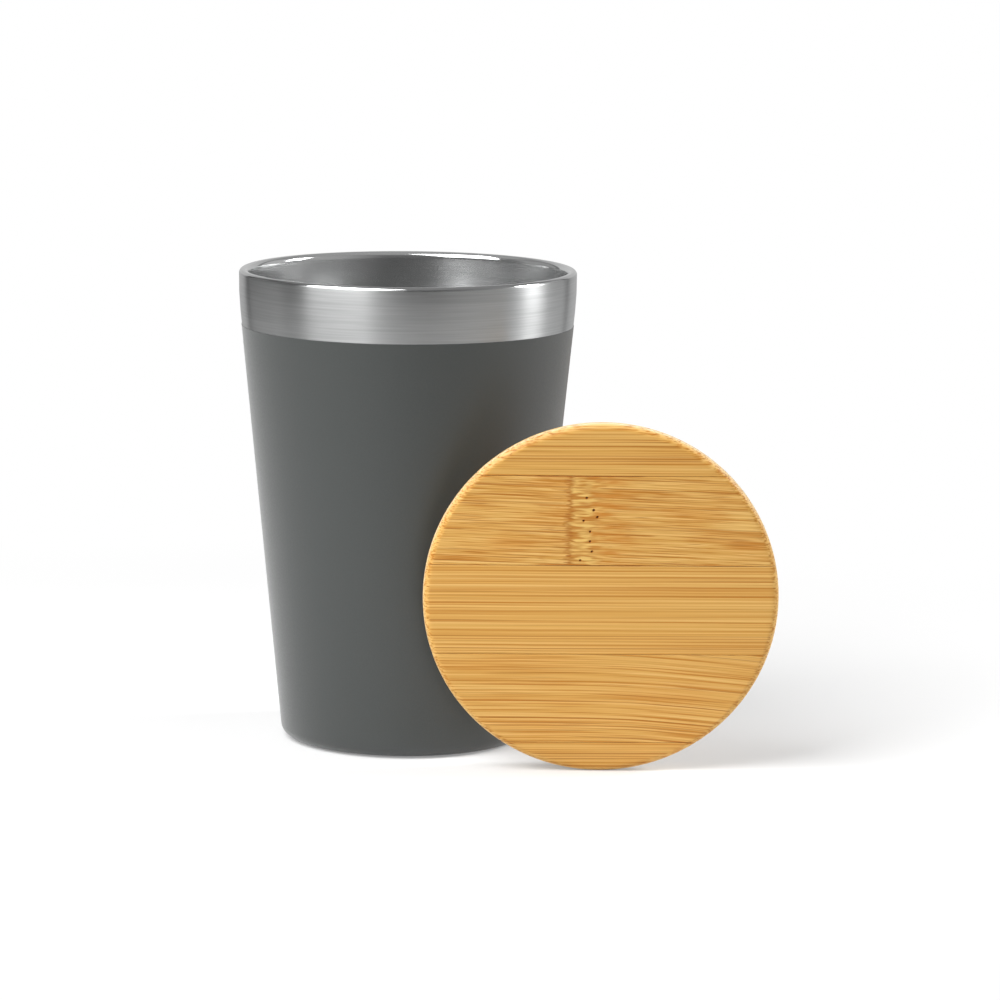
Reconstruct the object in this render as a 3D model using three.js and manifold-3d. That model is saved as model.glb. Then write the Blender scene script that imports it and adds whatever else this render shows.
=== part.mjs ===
// Double-wall steel cup with a bamboo lid. The lid is off: it stands on its edge and leans on the cup.
// Millimetres, +Z up. The origin is the middle of the cup's underside, on the table.
import * as THREE from "three";
import { mergeVertices } from "three/addons/utils/BufferGeometryUtils.js";
import Module from "manifold-3d";

const { degToRad, radToDeg } = THREE.MathUtils;
const wasm = await Module();
wasm.setup();

// Steel walls of the cup
const SHEET = 0.5; // thickness of both steel walls and the base
const CUP_HEIGHT = 117.7; // table to the top of the lip
const BASE_RADIUS = 30.87; // the outer wall's cone, carried down to the table
const SHOULDER_RADIUS = 41.54; // where the straight wall ends and starts to curve in
const SHOULDER_DROP = 10.2; // the same place, below the top of the lip
const RIM_ARC = 78; // radius of the gentle curve from the shoulder to the lip
const LIP_ROUND = 1; // radius of the lip's outer edge
const LIP_WIDTH = 2.5; // from the widest place of the rim in to the mouth
const CREST = 0.1; // flat on top of the lip, where the two walls are welded
const WELD_GAP = 0.04; // between the two walls at the weld
const BASE_CORNER = 3; // radius of the outer bottom corner
const FLANGE_WIDTH = 3.7; // flat ring that the outer wall turns in to
const LINER_FLOOR = 8.5; // inside bottom of the cup above the table
const LINER_CORNER = 6; // radius of the inside bottom corner

// Powder coat on the outer wall
const COAT = 0.08; // thickness of the coat
const COAT_GAP = 0.02; // between the coat and the steel
const BARE_BAND = 13.7; // height of the bare steel above the paint line

// Base of the cup
const PAD_PROUD = 0.3; // how far the pad stands below the coat
const PAD_CLEARANCE = 0.3; // between the pad's edge and the flange
const PAD_CHAMFER = 0.25; // bevel on the pad's lower edge
const SEAT_GAP = 0.05; // between pieces that are welded or glued to each other
const BASE_MARGIN = 0.7; // from the edge of the base plate to the bottom corner
const DIMPLE_RADIUS = 5.5; // dimple in the base plate
const DIMPLE_TOP = 3; // flat top of the dimple
const DIMPLE_RISE = 1.2; // height of the dimple
const HOLE_RADIUS = 1.2; // hole that the air was pumped out through
const BEAD_RADIUS = 2.6; // bead that closes the hole
const BEAD_DEPTH = 0.8; // how far the bead hangs below the top of the dimple
const GETTER_RADIUS = 4; // pill between the two floors
const GETTER_HEIGHT = 1.5;
const GETTER_INSET = 13.5; // from the edge of the base plate to the pill's middle

// Lid
const LID_OVERHANG = 1.1; // how far the disc reaches past the rim
const LID_THICKNESS = 5; // disc alone
const LID_EDGE = 1.8; // radius of the disc's rounded edges
const TOP_SLAT = 12.57; // from the disc's upper edge to the first seam
const BOTTOM_SLAT = 7.32; // from the last seam to the disc's lower edge
const MIDDLE_SLATS = 3; // whole slats of one width between the two
const GLUE_LINE = 0.3; // between slats, and between the disc and its plug
const PLUG_PLAY = 1.8; // between the plug and the mouth all round
const PLUG_DEPTH = 6.3; // how far the plug reaches into the mouth
const PLUG_CHAMFER = 0.6; // bevel on the plug's lower edge
const GROOVE_WIDTH = 3.2; // groove in the plug for the seal
const GROOVE_DEPTH = 1.5;
const GROOVE_DROP = 2.6; // middle of the groove below the disc
const SEAL_CLEARANCE = 0.3; // between the seal and its groove
const SEAL_SQUEEZE = 0.25; // how far the seal's lips reach past the wall of the mouth
const SEAL_TIP = 0.25; // half thickness of each lip at its tip

// Where the lid stands
const LID_ACROSS = 47.94; // middle of the lid to the right of the cup's axis
const LID_TILT = 3.3; // degrees, its top towards the front
const LID_TURN = 1.15; // degrees, its face towards the right
const LEAN_GAP = 0.3; // between the plug and the cup's wall

// How finely round shapes are drawn
const SEGMENTS = 64;
const CORNER_STEPS = 4;
const RIM_STEPS = 4;
const LIP_STEPS = 4;

const STEEL = { color: 0xc3c5c6, roughness: 0.32, metalness: 1 };
const LINER_STEEL = { color: 0xb4b6b7, roughness: 0.42, metalness: 1 };
const GREY_COAT = { color: 0x5d605f, roughness: 0.62, metalness: 0 };
const PAD_RUBBER = { color: 0x3c3e3e, roughness: 0.85, metalness: 0 };
const SOLDER = { color: 0x8f9394, roughness: 0.45, metalness: 0.6 };
const GETTER_METAL = { color: 0x6b6a68, roughness: 0.7, metalness: 0.8 };
const BAMBOO = { color: 0xd8a65e, roughness: 0.5, metalness: 0 };
const PLUG_BAMBOO = { color: 0xcf9c56, roughness: 0.55, metalness: 0 };
const SILICONE = { color: 0xe6e4de, roughness: 0.5, metalness: 0 };

// Sizes that follow from the ones above
const shoulderHeight = CUP_HEIGHT - SHOULDER_DROP;
const lean = Math.atan2(SHOULDER_RADIUS - BASE_RADIUS, shoulderHeight);
const leanDegrees = radToDeg(lean);
const coatBuild = COAT_GAP + COAT;
const flangeHeight = PAD_PROUD + coatBuild;
const lipInner = LIP_WIDTH - LIP_ROUND - CREST;

const corner = new THREE.Vector2(0, flangeHeight + BASE_CORNER);
corner.x = wallRadius(corner.y) - BASE_CORNER / Math.cos(lean);
const flangeRadius = corner.x - FLANGE_WIDTH;

const rim = new THREE.Vector2(SHOULDER_RADIUS, shoulderHeight);
rim.add(new THREE.Vector2(-Math.cos(lean), Math.sin(lean)).multiplyScalar(RIM_ARC));
const rimRadius = rim.x + RIM_ARC;

const lip = new THREE.Vector2(0, CUP_HEIGHT - LIP_ROUND);
lip.x = rim.x + Math.sqrt((RIM_ARC - LIP_ROUND) ** 2 - (lip.y - rim.y) ** 2);
const lipStart = radToDeg(Math.atan2(lip.y - rim.y, lip.x - rim.x));

const mouth = new THREE.Vector2(lip.x - CREST, CUP_HEIGHT - lipInner);
const weldRadius = (lip.x + mouth.x) / 2;
const mouthRadius = mouth.x - lipInner;

const linerCorner = new THREE.Vector2(0, LINER_FLOOR + LINER_CORNER);
linerCorner.x = linerRadius(linerCorner.y) - LINER_CORNER / Math.cos(lean);

const baseBottom = flangeHeight + SHEET + SEAT_GAP;
const plateRadius = corner.x - BASE_MARGIN;
const lidRadius = rimRadius + LID_OVERHANG;
const plugTop = -LID_THICKNESS - GLUE_LINE;
const plugRadius = mouthRadius - PLUG_PLAY;
const grooveMiddle = -LID_THICKNESS - GROOVE_DROP;
const sealRadius = linerRadius(CUP_HEIGHT - GROOVE_DROP) + SEAL_SQUEEZE;

// Radius of the outer steel wall's cone at a height
function wallRadius(z) {
  return BASE_RADIUS + z * Math.tan(lean);
}

// Radius of the inner wall's cone at a height, on the side that holds the drink
function linerRadius(z) {
  const top = new THREE.Vector2(-Math.cos(lean), Math.sin(lean)).multiplyScalar(lipInner).add(mouth);
  return top.x - (top.y - z) * Math.tan(lean);
}

function point(r, z) {
  return new THREE.Vector2(r, z);
}

// Points on an arc about a centre, from one angle to another in degrees
function arc(centre, radius, from, to, steps) {
  const points = [];
  for (let i = 0; i <= steps; i += 1) {
    const angle = degToRad(from + ((to - from) * i) / steps);
    points.push(point(centre.x + radius * Math.cos(angle), centre.y + radius * Math.sin(angle)));
  }
  return points;
}

// The outer wall from its flange to the weld, moved out by a distance
function shellSide(out) {
  return [
    point(flangeRadius, flangeHeight - out),
    ...arc(corner, BASE_CORNER + out, -90, -leanDegrees, CORNER_STEPS),
    ...arc(rim, RIM_ARC + out, -leanDegrees, lipStart, RIM_STEPS),
    ...arc(lip, LIP_ROUND + out, lipStart, 90, LIP_STEPS).slice(1),
    point(weldRadius + WELD_GAP / 2, CUP_HEIGHT + out),
  ];
}

// The inner wall from the middle of its floor to the weld, moved out by a distance
function linerSide(out) {
  return [
    point(0, LINER_FLOOR - out),
    ...arc(linerCorner, LINER_CORNER + out, -90, -leanDegrees, CORNER_STEPS),
    ...arc(mouth, lipInner - out, 180 - leanDegrees, 90, LIP_STEPS),
    point(weldRadius - WELD_GAP / 2, CUP_HEIGHT - out),
  ];
}

// The part of a rising profile that lies below a height, cut off level there
function below(points, height) {
  const kept = points.filter((p) => p.y < height);
  const last = kept.at(-1);
  const next = points[kept.length];
  return [...kept, last.clone().lerp(next, (height - last.y) / (next.y - last.y))];
}

// A solid turned about +Z from a profile that runs up its outside
function turned(points) {
  return new THREE.LatheGeometry(points, SEGMENTS).rotateX(Math.PI / 2);
}

// A turned sheet between its outer and inner side
function turnedSheet(outer, inner) {
  return turned([...outer, ...inner.toReversed(), outer[0]]);
}

function piece(name, geometry, finish) {
  const mesh = new THREE.Mesh(geometry, new THREE.MeshStandardMaterial(finish));
  mesh.name = name;
  return mesh;
}

function toSolid(geometry) {
  const bare = geometry.clone();
  bare.deleteAttribute("normal");
  bare.deleteAttribute("uv");
  const merged = mergeVertices(bare);
  const triVerts = [];
  const index = merged.index.array;
  for (let i = 0; i < index.length; i += 3) {
    const [a, b, c] = index.slice(i, i + 3);
    if (a !== b && b !== c && c !== a) {
      triVerts.push(a, b, c);
    }
  }
  const vertProperties = merged.attributes.position.array;
  return new wasm.Manifold(new wasm.Mesh({ numProp: 3, vertProperties, triVerts: new Uint32Array(triVerts) }));
}

function toGeometry(solid) {
  const mesh = solid.getMesh();
  const geometry = new THREE.BufferGeometry();
  geometry.setAttribute("position", new THREE.BufferAttribute(mesh.vertProperties, 3));
  geometry.setIndex(new THREE.BufferAttribute(mesh.triVerts, 1));
  return geometry;
}

function outerShell() {
  return piece("outer_shell", turnedSheet(shellSide(0), shellSide(-SHEET)), STEEL);
}

function powderCoat() {
  const paintLine = CUP_HEIGHT - BARE_BAND;
  const outer = below(shellSide(coatBuild), paintLine);
  const inner = below(shellSide(COAT_GAP), paintLine);
  return piece("powder_coat", turnedSheet(outer, inner), GREY_COAT);
}

function innerLiner() {
  return piece("inner_liner", turned([...linerSide(SHEET), ...linerSide(0).toReversed()]), LINER_STEEL);
}

// Plate lapped on the flange, with a raised dimple and the hole in it
function outerBase() {
  const side = (z) => [
    point(HOLE_RADIUS, z + DIMPLE_RISE),
    point(DIMPLE_TOP, z + DIMPLE_RISE),
    point(DIMPLE_RADIUS, z),
    point(plateRadius, z),
  ];
  return piece("outer_base", turnedSheet(side(baseBottom), side(baseBottom + SHEET)), STEEL);
}

// Bead under the dimple, with a stem that fills the hole
function sealBead() {
  const top = baseBottom + DIMPLE_RISE;
  const profile = [
    point(0, top - BEAD_DEPTH),
    point(DIMPLE_TOP / 2, top - BEAD_DEPTH),
    point(BEAD_RADIUS, top - SEAT_GAP),
    point(HOLE_RADIUS - SEAT_GAP, top - SEAT_GAP),
    point(HOLE_RADIUS - SEAT_GAP, top + SHEET),
    point(0, top + SHEET),
  ];
  return piece("seal_bead", turned(profile), SOLDER);
}

function getter() {
  const profile = [
    point(0, 0),
    point(GETTER_RADIUS, 0),
    point(GETTER_RADIUS, GETTER_HEIGHT),
    point(0, GETTER_HEIGHT),
  ];
  const pill = piece("getter", turned(profile), GETTER_METAL);
  pill.position.set(plateRadius - GETTER_INSET, 0, baseBottom + SHEET + SEAT_GAP);
  return pill;
}

function basePad() {
  const radius = flangeRadius - PAD_CLEARANCE;
  const profile = [
    point(0, 0),
    point(radius - PAD_CHAMFER, 0),
    point(radius, PAD_CHAMFER),
    point(radius, baseBottom - SEAT_GAP),
    point(0, baseBottom - SEAT_GAP),
  ];
  return piece("base_pad", turned(profile), PAD_RUBBER);
}

// The lid lies flat in its own frame, its top face at height 0 and its slats side by side along Y
function lidSlats() {
  const top = point(lidRadius - LID_EDGE, -LID_EDGE);
  const bottom = point(lidRadius - LID_EDGE, LID_EDGE - LID_THICKNESS);
  const disc = toSolid(turned([
    point(0, -LID_THICKNESS),
    ...arc(bottom, LID_EDGE, -90, 0, CORNER_STEPS),
    ...arc(top, LID_EDGE, 0, 90, CORNER_STEPS),
    point(0, 0),
  ]));
  const slatWidth = (2 * lidRadius - TOP_SLAT - BOTTOM_SLAT) / MIDDLE_SLATS;
  const seams = [lidRadius + GLUE_LINE];
  for (let i = 0; i <= MIDDLE_SLATS; i += 1) {
    seams.push(lidRadius - TOP_SLAT - i * slatWidth);
  }
  seams.push(-lidRadius - GLUE_LINE);
  const slats = [];
  for (let i = 1; i < seams.length; i += 1) {
    const width = seams[i - 1] - seams[i] - GLUE_LINE;
    const strip = new THREE.BoxGeometry(3 * lidRadius, width, 3 * LID_THICKNESS);
    strip.translate(0, (seams[i - 1] + seams[i]) / 2, 0);
    slats.push(piece(`lid_slat_${i}`, toGeometry(disc.intersect(toSolid(strip))), BAMBOO));
  }
  return slats;
}

function lidPlug() {
  const bottom = -LID_THICKNESS - PLUG_DEPTH;
  const profile = [
    point(0, bottom),
    point(plugRadius - PLUG_CHAMFER, bottom),
    point(plugRadius, bottom + PLUG_CHAMFER),
    point(plugRadius, grooveMiddle - GROOVE_WIDTH / 2),
    point(plugRadius - GROOVE_DEPTH, grooveMiddle - GROOVE_WIDTH / 2),
    point(plugRadius - GROOVE_DEPTH, grooveMiddle + GROOVE_WIDTH / 2),
    point(plugRadius, grooveMiddle + GROOVE_WIDTH / 2),
    point(plugRadius, plugTop),
    point(0, plugTop),
  ];
  return piece("lid_plug", turned(profile), PLUG_BAMBOO);
}

// Ring with two pointed lips that press on the wall of the mouth
function lidSeal() {
  const half = GROOVE_WIDTH / 2 - SEAL_CLEARANCE;
  const inside = plugRadius - GROOVE_DEPTH + SEAL_CLEARANCE;
  const profile = [
    point(inside, -half),
    point(plugRadius, -half),
    point(sealRadius, -half / 2 - SEAL_TIP),
    point(sealRadius, -half / 2 + SEAL_TIP),
    point(plugRadius, 0),
    point(sealRadius, half / 2 - SEAL_TIP),
    point(sealRadius, half / 2 + SEAL_TIP),
    point(plugRadius, half),
    point(inside, half),
    point(inside, -half),
  ];
  const seal = piece("lid_seal", turned(profile), SILICONE);
  seal.position.z = grooveMiddle;
  return seal;
}

// Stands the lid on the table and moves it back until its plug leans on the cup
function standLid(lid) {
  lid.rotation.set(Math.PI / 2 + degToRad(LID_TILT), 0, degToRad(LID_TURN), "ZYX");
  lid.position.x = LID_ACROSS;
  lid.position.z = -new THREE.Box3().setFromObject(lid, true).min.z;
  lid.updateMatrixWorld(true);
  const corners = lid.children.flatMap((mesh) => {
    const places = mesh.geometry.attributes.position;
    return Array.from({ length: places.count }, (_, i) => (
      new THREE.Vector3().fromBufferAttribute(places, i).applyMatrix4(mesh.matrixWorld)
    ));
  });
  const rooms = corners.map((place) => {
    const clear = Math.min(wallRadius(place.z), rimRadius) + coatBuild / Math.cos(lean) + LEAN_GAP;
    return Math.abs(place.x) < clear ? -Math.sqrt(clear ** 2 - place.x ** 2) - place.y : 0;
  });
  lid.position.y = Math.min(...rooms);
}

const cup = new THREE.Group();
cup.add(outerShell(), powderCoat(), innerLiner(), outerBase(), sealBead(), getter(), basePad());

const lid = new THREE.Group();
lid.add(...lidSlats(), lidPlug(), lidSeal());
standLid(lid);

const part = new THREE.Group();
part.add(cup, lid);

export default part;
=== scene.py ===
"""Looks of a double-wall steel cup and its bamboo lid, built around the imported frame."""

import math

import bmesh
import bpy
import numpy as np
from mathutils import Matrix, Vector


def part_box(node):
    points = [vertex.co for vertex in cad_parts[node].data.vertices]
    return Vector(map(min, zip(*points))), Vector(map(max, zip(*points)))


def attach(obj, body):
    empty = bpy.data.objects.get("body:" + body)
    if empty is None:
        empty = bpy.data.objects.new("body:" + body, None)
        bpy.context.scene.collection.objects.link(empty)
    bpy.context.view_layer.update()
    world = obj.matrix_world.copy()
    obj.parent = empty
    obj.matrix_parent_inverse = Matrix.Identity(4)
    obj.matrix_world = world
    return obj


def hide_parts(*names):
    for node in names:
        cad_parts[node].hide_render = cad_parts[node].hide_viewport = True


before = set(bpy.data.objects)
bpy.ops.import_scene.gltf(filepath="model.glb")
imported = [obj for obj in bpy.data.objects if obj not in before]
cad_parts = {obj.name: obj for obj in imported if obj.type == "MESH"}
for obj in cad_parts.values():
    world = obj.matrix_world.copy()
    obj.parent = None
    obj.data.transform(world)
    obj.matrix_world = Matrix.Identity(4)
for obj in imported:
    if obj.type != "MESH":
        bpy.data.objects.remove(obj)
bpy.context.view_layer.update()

# Sizes are in millimetres and become metres when a mesh is made
MM = 0.001

# Steel walls of the cup
SHEET = 0.5  # thickness of both walls
BASE_RADIUS = 30.87  # the outer wall's cone, carried down to the table
SHOULDER_RADIUS = 41.54  # where the straight wall ends and starts to curve in
SHOULDER_DROP = 10.2  # the same place, below the top of the lip
RIM_ARC = 78  # radius of the gentle curve from the shoulder to the lip
LIP_ROUND = 1  # radius of the lip's outer edge
LIP_WIDTH = 2.5  # from the widest place of the rim in to the mouth
CREST = 0.1  # flat on top of the lip, where the two walls are welded
BASE_CORNER = 3  # radius of the outer bottom corner
FLANGE_WIDTH = 3.7  # flat ring that the outer wall turns in to
LINER_CORNER = 6  # radius of the inside bottom corner
COAT_BUILD = 0.1  # from the steel to the outside of the powder coat
COAT_GAP = 0.02  # between the coat and the steel
COAT_EDGE = 0.08  # bevel of the coat at the paint line
POLISH_OUTSIDE = 0.5  # how far the mirror finish of the lip reaches down the outside
POLISH_INSIDE = 1.6  # and down the inside
DEEP_START = 8  # below the lip, where the inside turns from brushed steel to rougher steel painted paler, painted light against the shade deep in the cup
DEEP_END = 70
SATIN_END = 16  # below the lip, to where the inside is sanded half matt
SATIN_FADE = 16  # over which that fades to bare metal
SATIN_METALLIC = 0.84  # how metallic that half matt stretch is
OUTSIDE_FADE = 0.15  # over which the mirror finish ends outside
INSIDE_FADE = 0.25  # half of that inside
SHELL_ROUGHNESS = 0.33
LINER_ROUGHNESS = 0.22
DEEP_ROUGHNESS = 0.34
POLISH_ROUGHNESS = 0.09
LINE_WEAR = 0.06  # how much roughness varies from line to line
SHELL_LINE_DEPTH = 0.001
LINER_LINE_DEPTH = 0.0008

# Pad under the cup
PAD_CHAMFER = 0.25
PAD_RIBS = 7
PAD_RIB_DEPTH = 0.16
PAD_RIB_WIDTH = 1.5
PAD_BORDER = 2.5  # plain ring outside the ribs
PAD_RIB_PLACES = (-1, -0.8, -0.4, 0, 0.4, 0.8, 1)  # points across a rib, as shares of its half width

# Lid
LID_TILT = 3.3  # degrees, its top towards the front
LID_TURN = 1.15  # degrees, its face towards the right
LID_EDGE = 1.8  # radius of the disc's rounded edges
SEAM_GAP = 0.08  # between slats
SEAM_BEVEL = 0.13  # bevel of each slat at a seam
PLUG_CHAMFER = 0.6
PLUG_EASE = 0.2  # bevel on the plug's other edges
GROOVE_WIDTH = 3.2
GROOVE_DEPTH = 1.5
SEAL_TIP = 0.25  # half thickness of the seal's lips at their tips

# Fibres of the bamboo
BUNDLE_SPACING = 0.6  # between fibre bundles
KNUCKLE_SLAT = 1  # the slat with a knuckle in it, counted from 0 at the top
KNUCKLE_SPAN = (-18, 12)  # where the knuckle disturbs the fibres, along the slat
KNUCKLE_LINE = -7.8  # its sharp left edge
KNUCKLE_END = -1.5  # where its mottled stretch ends
KNUCKLE_PORES = [
    (-3.8, 25.1),
    (-2.1, 22.1),
    (-1.2, 20.4),
    (-4.5, 19.5),
    (-2.9, 16.8),
    (-2.9, 14.4),
    (-2.4, 11.9),
    (-5.2, 9.7),
]
PORE_RADIUS = 0.32
PORE_SPREAD = (0.75, 1.05)  # smallest and largest pore, as shares of that radius
PORE_STRETCH = 1.15  # how much longer than wide a pore is
PORE_DEPTH = 0.4
STROKE_SEED = 5
STROKE_MARGIN = 0.3  # from the slat's edges to the strokes pressed into the knuckle
LINE_START = 0.4  # from that margin to the first stroke on the knuckle's line
LINE_PITCH = 0.9  # between strokes on the line
LINE_SWAY = 0.45  # how far the line swings to each side
LINE_TURNS = 0.9  # radians of that swing for each millimetre
LINE_STROKES = {
    "along": (-0.6, 0.4),
    "length": (0.7, 2.0),
    "width": (0.16, 0.24),
    "shift": (-0.25, 0.25),
    "slope": (-0.2, 0.1),
    "depth": (0.03, 0.06),
}
FIBRE_STROKES = [
    {
        "count": 36,
        "from": KNUCKLE_LINE + 0.6,
        "to": KNUCKLE_END + 1,
        "length": (1.0, 2.8),
        "steep": 0.08,
        "deep": 0.04,
    },
    {
        "count": 130,
        "from": KNUCKLE_SPAN[0] + 3,
        "to": KNUCKLE_LINE,
        "length": (1.0, 3.4),
        "steep": 0.05,
        "deep": 0.032,
    },
    {
        "count": 60,
        "from": KNUCKLE_END,
        "to": KNUCKLE_SPAN[1] - 3,
        "length": (0.8, 3.0),
        "steep": 0.06,
        "deep": 0.03,
    },
]
FIBRE_WIDTH = (0.13, 0.2)
FIBRE_FALL = 0.035  # their slope down to the right
FIBRE_SHALLOWEST = 0.4  # as a share of the deepest
FINE_STEP = 0.16  # mesh size on the knuckle
KNUCKLE_SWING = 5  # how far noise moves the edges of the knuckle's colours
SHADOW_RISE = (KNUCKLE_LINE - 1.4, KNUCKLE_LINE)  # the dark line
SHADOW_FALL = (KNUCKLE_LINE, KNUCKLE_LINE + 1.2)
MOTTLE_RISE = (KNUCKLE_LINE - 0.5, KNUCKLE_LINE + 0.5)  # the mottled stretch beside it
MOTTLE_FALL = (KNUCKLE_END - 2, KNUCKLE_END + 3)
STAIN_RISE = (-3.5, -1.5)  # the stain on its right
STAIN_FALL = (1, 11)
PRESSED_RISE = (-17, -15)  # where dents in the face are darkened
PRESSED_FALL = (9, 11)
STROKE_DEPTHS = (-0.06, -0.004)  # depths at which strokes are darkest and just start to darken
PORE_SHADE_DEPTHS = (-0.3, -0.1)  # the same of the pores, whose dark colour is partly their own and partly painted shade in the pits
SHADOW_STRENGTH = 0.6  # how far each of these covers the wood's own colour
MOTTLE_STRENGTH = 0.75
STAIN_STRENGTH = 0.75
STROKE_STRENGTH = 0.85
BEND_START = 8  # right of the lid's middle, where bent fibres start to fall
BEND_EASE = 9  # how gradually they do
DRIFT_SQUASH = 0.3  # makes neighbouring fibres wave alike
WAVE = 0.3  # how far fibres wave up and down the face
BENT_WAVE = 3  # further waving for each unit of bend
WARM_PATCHES = 0.25  # how strong the patches, streaks and hairs are in plain bamboo
DARK_STREAKS = 0.9
PALE_STREAKS = 0.6
DARK_HAIRS = 0.6
SANDED_AND_HIGHLIGHT = 0.7  # how much paler the disc's rounded edge is than its face, and how strong the painted highlight is where the edge meets the side
ROUNDING = (-0.9, -0.1)  # where that starts to show, in edge radii below the face
HIGHLIGHT_FRONT = (-0.95, -0.65)  # a painted highlight along the line where the edge meets the side
HIGHLIGHT_BACK = (-1.4, -1.1)
SLAT_SEED = 10.0  # between one slat's patterns and the next one's
PLUG_SEED = 70.0
SLAT_GRAIN = [
    {"length": 2.2, "width": 1.0, "contrast": 1.0, "wander": 0.15},
    {
        "length": 0.6,
        "width": 0.72,
        "contrast": 1.3,
        "wander": 0.4,
        "slope": FIBRE_FALL,
        "warm": 0.25,
        "knuckle": True,
    },
    {"length": 5, "width": 1.15, "contrast": 1.05, "wander": 0.06},
    {"length": 1.4, "width": 0.95, "contrast": 1.0, "wander": 0.35, "bend": 0.1, "warm": 0.1},
    {"length": 2, "width": 1.0, "contrast": 0.9, "wander": 0.2},
]

# How finely shapes are drawn
MERGE_DISTANCE = 1e-4  # points nearer than this become one
SHARP_ANGLE = 30  # degrees, from which an edge stays sharp
SIDES = 256
ARC_STEP = 6  # degrees
SLAT_STEP = 1.5  # degrees round the disc's edge between two rows
SLAT_COLUMNS = 48

# Camera
CAMERA_PLACE = (23.318, -1147.316, 244.932)
CAMERA_PITCH = 9.167  # degrees below level
CAMERA_ROLL = 0.531  # degrees
CAMERA_LENS = 167.28
CAMERA_SENSOR = 36.0

# Stage
FLOOR_RADIUS = 0.4  # metres, as are the other lengths of the stage
FLOOR_FADE = 0.34  # share of the radius where the floor starts to turn plain white
FLOOR_WHITE = 0.75  # and where it is white
FLOOR_BOUNCE = 0.72  # how pale the floor is for the light that it sends back to the object
FLOOR_SHADE = 0.655  # how pale it is to the camera, apart from its glow
FLOOR_GLOW = 0.28
STUDIO_LEVEL = 0.04  # in front, on the left and overhead
STUDIO_RIGHT = 0.2
SIDE_LEFT = 0.24  # the walls beside and behind the cup, up to a middling height
SIDE_RIGHT = 0.55
BACKDROP_LEVEL = 0.6  # the low pale backdrop straight behind
CEILING_LEVEL = 0.3  # overhead, as gloss and metal show it
CARD_LEVEL = 0.42  # a card in front on the right, also for gloss and metal alone

# Where the studio's soft edges start and end, in parts of a direction of length 1
STUDIO_EDGE = (0.1, 0.9)  # along X, from the dark left to the paler right
SIDE_EDGE = (-0.1, 0.1)  # along X, from the left wall to the right one
WALL_TOP = (0.4, 0.75)  # along Z
BACKDROP_TOP = (0.2, 0.95)  # along Z
CEILING_EDGE = (0.45, 0.8)  # along Z
CARD_EDGE = (0.1, 0.95)  # along X
CARD_BACK = (0.0, 0.3)  # along Y

# The same in degrees from straight behind, to each side
BACKDROP_SIDE = (34, 37)
WALL_NEAR = (41, 44)  # after a dark slit beside the backdrop
WALL_FAR = (80, 95)

# Lamps: angles in degrees, distance and size in metres
LAMP_TARGET = (0, 0, 0.06)  # the place that they face
LAMPS = [
    {
        "name": "key",
        "azimuth": -49,
        "elevation": 45,
        "distance": 0.75,
        "width": 0.64,
        "height": 0.72,
        "radiance": 5.1,
    },
    {
        "name": "strip",
        "azimuth": 98,
        "elevation": 28,
        "distance": 0.9,
        "width": 0.26,
        "height": 0.36,
        "radiance": 14.2,
    },
]


# Shapes

def arc(centre, radius, start, end):
    """Points on a round stretch, between two angles in degrees from the outward direction."""
    steps = max(2, math.ceil(abs(end - start) / ARC_STEP))
    angles = [math.radians(start + (end - start) * i / steps) for i in range(steps + 1)]
    return [(centre[0] + radius * math.cos(a), centre[1] + radius * math.sin(a)) for a in angles]


def finish_mesh(name, verts, faces, matrix=None):
    """A smooth object from points in millimetres, put in place by a matrix, with its sharp corners kept."""
    mesh = bpy.data.meshes.new(name)
    mesh.from_pydata([[MM * c for c in v] for v in verts], [], faces)
    if matrix is not None:
        mesh.transform(matrix)
    work = bmesh.new()
    work.from_mesh(mesh)
    bmesh.ops.remove_doubles(work, verts=work.verts, dist=MERGE_DISTANCE * MM)
    bmesh.ops.dissolve_degenerate(work, edges=work.edges, dist=MERGE_DISTANCE * MM)
    bmesh.ops.triangulate(work, faces=[f for f in work.faces if len(f.verts) > 4], ngon_method="BEAUTY")
    bmesh.ops.recalc_face_normals(work, faces=work.faces)
    for face in work.faces:
        face.smooth = True
    for edge in work.edges:
        edge.smooth = len(edge.link_faces) == 2 and edge.calc_face_angle(0) < math.radians(SHARP_ANGLE)
    work.to_mesh(mesh)
    work.free()
    piece = bpy.data.objects.new(name, mesh)
    bpy.context.scene.collection.objects.link(piece)
    return piece


def turned(name, profile, matrix=None):
    """A solid turned about +Z from a closed profile of (radius, height) points."""
    verts = []
    for i in range(SIDES):
        angle = 2 * math.pi * i / SIDES
        verts += [(r * math.cos(angle), r * math.sin(angle), z) for r, z in profile]
    count = len(profile)
    faces = []
    for i in range(SIDES):
        for j in range(count):
            a, b = i * count, (i + 1) % SIDES * count
            k = (j + 1) % count
            faces.append((a + j, b + j, b + k, a + k))
    return finish_mesh(name, verts, faces, matrix)


# Cup

cup_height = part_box("outer_shell")[1].z / MM
flange_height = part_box("outer_shell")[0].z / MM
paint_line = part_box("powder_coat")[1].z / MM
liner_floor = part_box("inner_liner")[0].z / MM + SHEET
shoulder_height = cup_height - SHOULDER_DROP
lean = math.atan2(SHOULDER_RADIUS - BASE_RADIUS, shoulder_height)
lean_degrees = math.degrees(lean)
lip_inner = LIP_WIDTH - LIP_ROUND - CREST


def wall_radius(z):
    """Radius of the outer wall's cone at a height."""
    return BASE_RADIUS + z * math.tan(lean)


corner_height = flange_height + BASE_CORNER
corner = (wall_radius(corner_height) - BASE_CORNER / math.cos(lean), corner_height)
flange_radius = corner[0] - FLANGE_WIDTH
rim = (SHOULDER_RADIUS - RIM_ARC * math.cos(lean), shoulder_height + RIM_ARC * math.sin(lean))
lip_height = cup_height - LIP_ROUND
lip = (rim[0] + math.sqrt((RIM_ARC - LIP_ROUND) ** 2 - (lip_height - rim[1]) ** 2), lip_height)
lip_start = math.degrees(math.atan2(lip[1] - rim[1], lip[0] - rim[0]))
mouth = (lip[0] - CREST, cup_height - lip_inner)
weld_radius = (lip[0] + mouth[0]) / 2


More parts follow.
